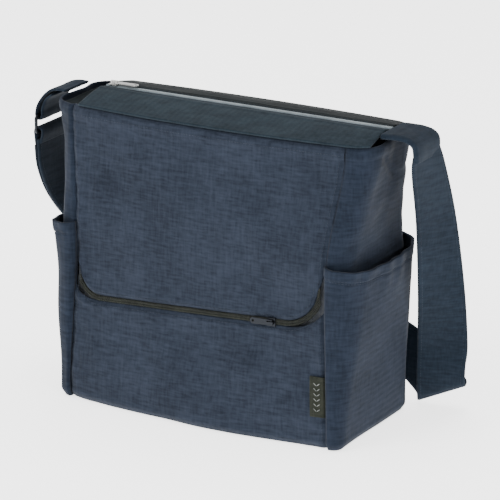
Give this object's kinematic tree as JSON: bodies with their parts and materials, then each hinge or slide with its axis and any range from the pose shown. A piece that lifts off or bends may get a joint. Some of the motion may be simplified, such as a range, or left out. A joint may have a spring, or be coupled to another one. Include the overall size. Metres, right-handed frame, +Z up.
{
  "type": "diaper_bag",
  "caption": "Navy fabric diaper bag with a zipped top, a zipped front pocket, open side pockets and a wide shoulder strap on a metal ring",
  "frame": {"origin": "centre of the flat underside of the base, on the surface that the bag stands on", "axes": "+X is the bag's right seen from the front, +Y its back, +Z up; the front pocket faces -Y"},
  "size_m": [0.485, 0.2062, 0.3448],
  "materials": {
    "front_fabric": "matt woven",
    "side_fabric": "matt woven",
    "dark_fabric": "matt woven",
    "lining_fabric": "smooth woven",
    "strap_webbing": "matt webbing",
    "label_weave": "fine woven",
    "board": "matt",
    "dark_zip": "satin",
    "silver_zip": "satin",
    "silver_metal": "satin",
    "dark_metal": "satin"
  },
  "bodies": {
    "bag": {"bottom_panel": "side_fabric", "base_board": "board", "back_panel": "front_fabric", "lining": "lining_fabric", "front_inner_panel": "lining_fabric", "front_lower_panel": "front_fabric", "front_upper_panel": "front_fabric", "front_zip_lower_coil": "dark_zip", "woven_label": "label_weave", "left_side_panel": "side_fabric", "left_side_pocket": "side_fabric", "left_pocket_hem": "side_fabric", "left_tab_stub": "strap_webbing", "right_side_panel": "side_fabric", "right_side_pocket": "side_fabric", "right_pocket_hem": "side_fabric", "right_tab_stub": "strap_webbing", "left_end_gusset": "dark_fabric"},
    "front_flap": {"top_front_flap": "front_fabric", "top_zip_front_coil": "silver_zip"},
    "back_flap": {"top_back_flap": "dark_fabric", "top_zip_back_coil": "silver_zip"},
    "top_slider": {"top_zip_slider": "silver_metal"},
    "top_pull": {"top_zip_pull": "silver_metal"},
    "pocket_lip": {"front_pocket_lip": "front_fabric", "front_zip_upper_coil": "dark_zip"},
    "front_slider": {"front_zip_slider": "dark_metal"},
    "front_pull": {"front_zip_pull": "dark_metal"},
    "strap": {"right_strap_tab": "strap_webbing", "left_ring_tab": "strap_webbing", "strap_ring_loop": "strap_webbing", "shoulder_strap": "strap_webbing", "strap_return_layer": "strap_webbing"},
    "adjuster": {"strap_adjuster": "dark_metal"},
    "ring": {"strap_ring": "dark_metal"}
  },
  "joints": [
    {"name": "front_flap_fold", "type": "hinge", "parent": "bag", "child": "front_flap", "pos_m": [0, -0.0665, 0.3297], "axis": [1, 0, 0], "range_deg": [0, 110]},
    {"name": "back_flap_fold", "type": "hinge", "parent": "bag", "child": "back_flap", "pos_m": [0, 0.0625, 0.3297], "axis": [-1, 0, 0], "range_deg": [0, 110]},
    {"name": "top_slider_run", "type": "slide", "parent": "front_flap", "child": "top_slider", "axis": [1, 0, 0], "range_m": [0, 0.325]},
    {"name": "top_pull_tilt", "type": "hinge", "parent": "top_slider", "child": "top_pull", "pos_m": [-0.1488, 0, 0.3427], "axis": [0, -1, 0], "range_deg": [0, 150]},
    {"name": "pocket_lip_fold", "type": "hinge", "parent": "bag", "child": "pocket_lip", "pos_m": [0, -0.0741, 0.18685], "axis": [-1, 0, 0], "range_deg": [0, 70]},
    {"name": "front_slider_run", "type": "slide", "parent": "pocket_lip", "child": "front_slider", "axis": [-0.9987, -0.003, -0.0499], "range_m": [0, 0.15]},
    {"name": "front_pull_tilt", "type": "hinge", "parent": "front_slider", "child": "front_pull", "pos_m": [0.0938, -0.0784, 0.1317], "axis": [-0.0499, 0, 0.9988], "range_deg": [0, 150]},
    {"name": "strap_swing", "type": "hinge", "parent": "bag", "child": "strap", "pos_m": [0, 0, 0.334], "axis": [1, 0, 0], "range_deg": [0, 165]},
    {"name": "adjuster_run", "type": "slide", "parent": "strap", "child": "adjuster", "axis": [-0.9824, 0, 0.1867], "range_m": [0, 0.03]},
    {"name": "ring_tilt", "type": "hinge", "parent": "strap", "child": "ring", "pos_m": [-0.231, 0, 0.299], "axis": [0, 1, 0], "range_deg": [-3, 3]}
  ],
  "couplings": [
    {"joint": "back_flap_fold", "follows": "front_flap_fold", "ratio": 1}
  ]
}
